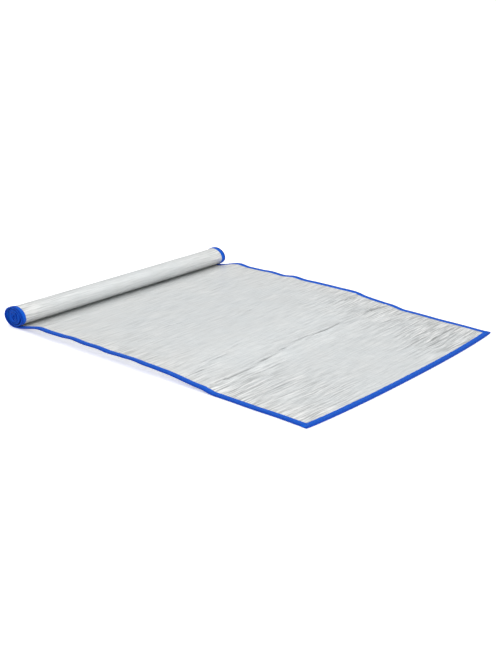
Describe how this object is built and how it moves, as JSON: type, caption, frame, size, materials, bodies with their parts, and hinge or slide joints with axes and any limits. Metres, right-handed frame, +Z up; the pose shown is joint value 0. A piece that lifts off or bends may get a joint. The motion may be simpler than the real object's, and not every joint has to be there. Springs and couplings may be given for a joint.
{
  "type": "roll-up sleeping mat",
  "caption": "Thin roll-up foam sleeping mat with metallised film faces and a blue sewn edge tape, one end wound into a roll and the other lying flat past a fold crease.",
  "frame": {"origin": "on the ground, under the middle of the whole outline: free end to the far side of the roll, and edge to edge", "axes": "+X along the mat from the roll to the free end, +Y across the mat, +Z up"},
  "size_m": [1.1078, 0.9, 0.0609],
  "materials": {
    "silver_film": "satin metallised film, finely wrinkled",
    "white_foam": "matt closed-cell foam",
    "blue_tape": "matt woven tape",
    "blue_thread": "polyester sewing thread"
  },
  "bodies": {
    "lying_sheet": {"lying_far_stitching": "blue_thread", "lying_far_tape": "blue_tape", "lying_foam_core": "white_foam", "lying_ground_film": "silver_film", "lying_near_stitching": "blue_thread", "lying_near_tape": "blue_tape", "lying_top_film": "silver_film"},
    "free_end_panel": {"free_end_cross_stitching": "blue_thread", "free_end_far_stitching": "blue_thread", "free_end_far_tape": "blue_tape", "free_end_foam_core": "white_foam", "free_end_ground_film": "silver_film", "free_end_near_stitching": "blue_thread", "free_end_near_tape": "blue_tape", "free_end_tape": "blue_tape", "free_end_top_film": "silver_film"},
    "turn_01": {"turn_01_far_tape": "blue_tape", "turn_01_near_tape": "blue_tape", "turn_01_sheet": "silver_film"},
    "turn_02": {"turn_02_far_tape": "blue_tape", "turn_02_near_tape": "blue_tape", "turn_02_sheet": "silver_film"},
    "turn_03": {"turn_03_far_tape": "blue_tape", "turn_03_near_tape": "blue_tape", "turn_03_sheet": "silver_film"},
    "turn_04": {"turn_04_far_tape": "blue_tape", "turn_04_near_tape": "blue_tape", "turn_04_sheet": "silver_film"},
    "turn_05": {"turn_05_far_tape": "blue_tape", "turn_05_near_tape": "blue_tape", "turn_05_sheet": "silver_film"},
    "turn_06": {"turn_06_far_tape": "blue_tape", "turn_06_near_tape": "blue_tape", "turn_06_sheet": "silver_film"},
    "turn_07": {"turn_07_far_tape": "blue_tape", "turn_07_near_tape": "blue_tape", "turn_07_sheet": "silver_film"},
    "turn_08": {"turn_08_far_tape": "blue_tape", "turn_08_near_tape": "blue_tape", "turn_08_sheet": "silver_film"},
    "turn_09": {"turn_09_far_tape": "blue_tape", "turn_09_near_tape": "blue_tape", "turn_09_sheet": "silver_film"},
    "turn_10": {"turn_10_far_tape": "blue_tape", "turn_10_near_tape": "blue_tape", "turn_10_sheet": "silver_film"},
    "turn_11": {"turn_11_far_tape": "blue_tape", "turn_11_near_tape": "blue_tape", "turn_11_sheet": "silver_film"},
    "inner_roll": {"roll_far_tape": "blue_tape", "roll_foam_core": "white_foam", "roll_ground_film": "silver_film", "roll_inner_end_tape": "blue_tape", "roll_near_tape": "blue_tape", "roll_top_film": "silver_film"}
  },
  "joints": [
    {"name": "fold_free_end", "type": "hinge", "parent": "lying_sheet", "child": "free_end_panel", "pos_m": [0.20891, 0, 0.0116], "axis": [0, -1, 0], "range_deg": [0, 170]},
    {"name": "unroll_01", "type": "hinge", "parent": "lying_sheet", "child": "turn_01", "pos_m": [-0.52605, 0, 0.00111], "axis": [0, -1, 0], "range_deg": [0, 30]},
    {"name": "unroll_02", "type": "hinge", "parent": "turn_01", "child": "turn_02", "pos_m": [-0.54552, 0, 0.01202], "axis": [0, -1, 0], "range_deg": [0, 30]},
    {"name": "unroll_03", "type": "hinge", "parent": "turn_02", "child": "turn_03", "pos_m": [-0.55337, 0, 0.02504], "axis": [0, -1, 0], "range_deg": [0, 30]},
    {"name": "unroll_04", "type": "hinge", "parent": "turn_03", "child": "turn_04", "pos_m": [-0.55338, 0, 0.03659], "axis": [0, -1, 0], "range_deg": [0, 30]},
    {"name": "unroll_05", "type": "hinge", "parent": "turn_04", "child": "turn_05", "pos_m": [-0.54574, 0, 0.04928], "axis": [0, -1, 0], "range_deg": [0, 30]},
    {"name": "unroll_06", "type": "hinge", "parent": "turn_05", "child": "turn_06", "pos_m": [-0.52694, 0, 0.05982], "axis": [0, -1, 0], "range_deg": [0, 30]},
    {"name": "unroll_07", "type": "hinge", "parent": "turn_06", "child": "turn_07", "pos_m": [-0.50212, 0, 0.05983], "axis": [0, -1, 0], "range_deg": [0, 30]},
    {"name": "unroll_08", "type": "hinge", "parent": "turn_07", "child": "turn_08", "pos_m": [-0.48364, 0, 0.0495], "axis": [0, -1, 0], "range_deg": [0, 30]},
    {"name": "unroll_09", "type": "hinge", "parent": "turn_08", "child": "turn_09", "pos_m": [-0.47637, 0, 0.03747], "axis": [0, -1, 0], "range_deg": [0, 30]},
    {"name": "unroll_10", "type": "hinge", "parent": "turn_09", "child": "turn_10", "pos_m": [-0.47636, 0, 0.02708], "axis": [0, -1, 0], "range_deg": [0, 30]},
    {"name": "unroll_11", "type": "hinge", "parent": "turn_10", "child": "turn_11", "pos_m": [-0.48343, 0, 0.01538], "axis": [0, -1, 0], "range_deg": [0, 30]},
    {"name": "unroll_12", "type": "hinge", "parent": "turn_11", "child": "inner_roll", "pos_m": [-0.50087, 0, 0.00555], "axis": [0, -1, 0], "range_deg": [0, 30]}
  ],
  "couplings": [
    {"joint": "unroll_02", "follows": "unroll_01", "ratio": 1},
    {"joint": "unroll_03", "follows": "unroll_01", "ratio": 1},
    {"joint": "unroll_04", "follows": "unroll_01", "ratio": 1},
    {"joint": "unroll_05", "follows": "unroll_01", "ratio": 1},
    {"joint": "unroll_06", "follows": "unroll_01", "ratio": 1},
    {"joint": "unroll_07", "follows": "unroll_01", "ratio": 1},
    {"joint": "unroll_08", "follows": "unroll_01", "ratio": 1},
    {"joint": "unroll_09", "follows": "unroll_01", "ratio": 1},
    {"joint": "unroll_10", "follows": "unroll_01", "ratio": 1},
    {"joint": "unroll_11", "follows": "unroll_01", "ratio": 1},
    {"joint": "unroll_12", "follows": "unroll_01", "ratio": 1}
  ]
}
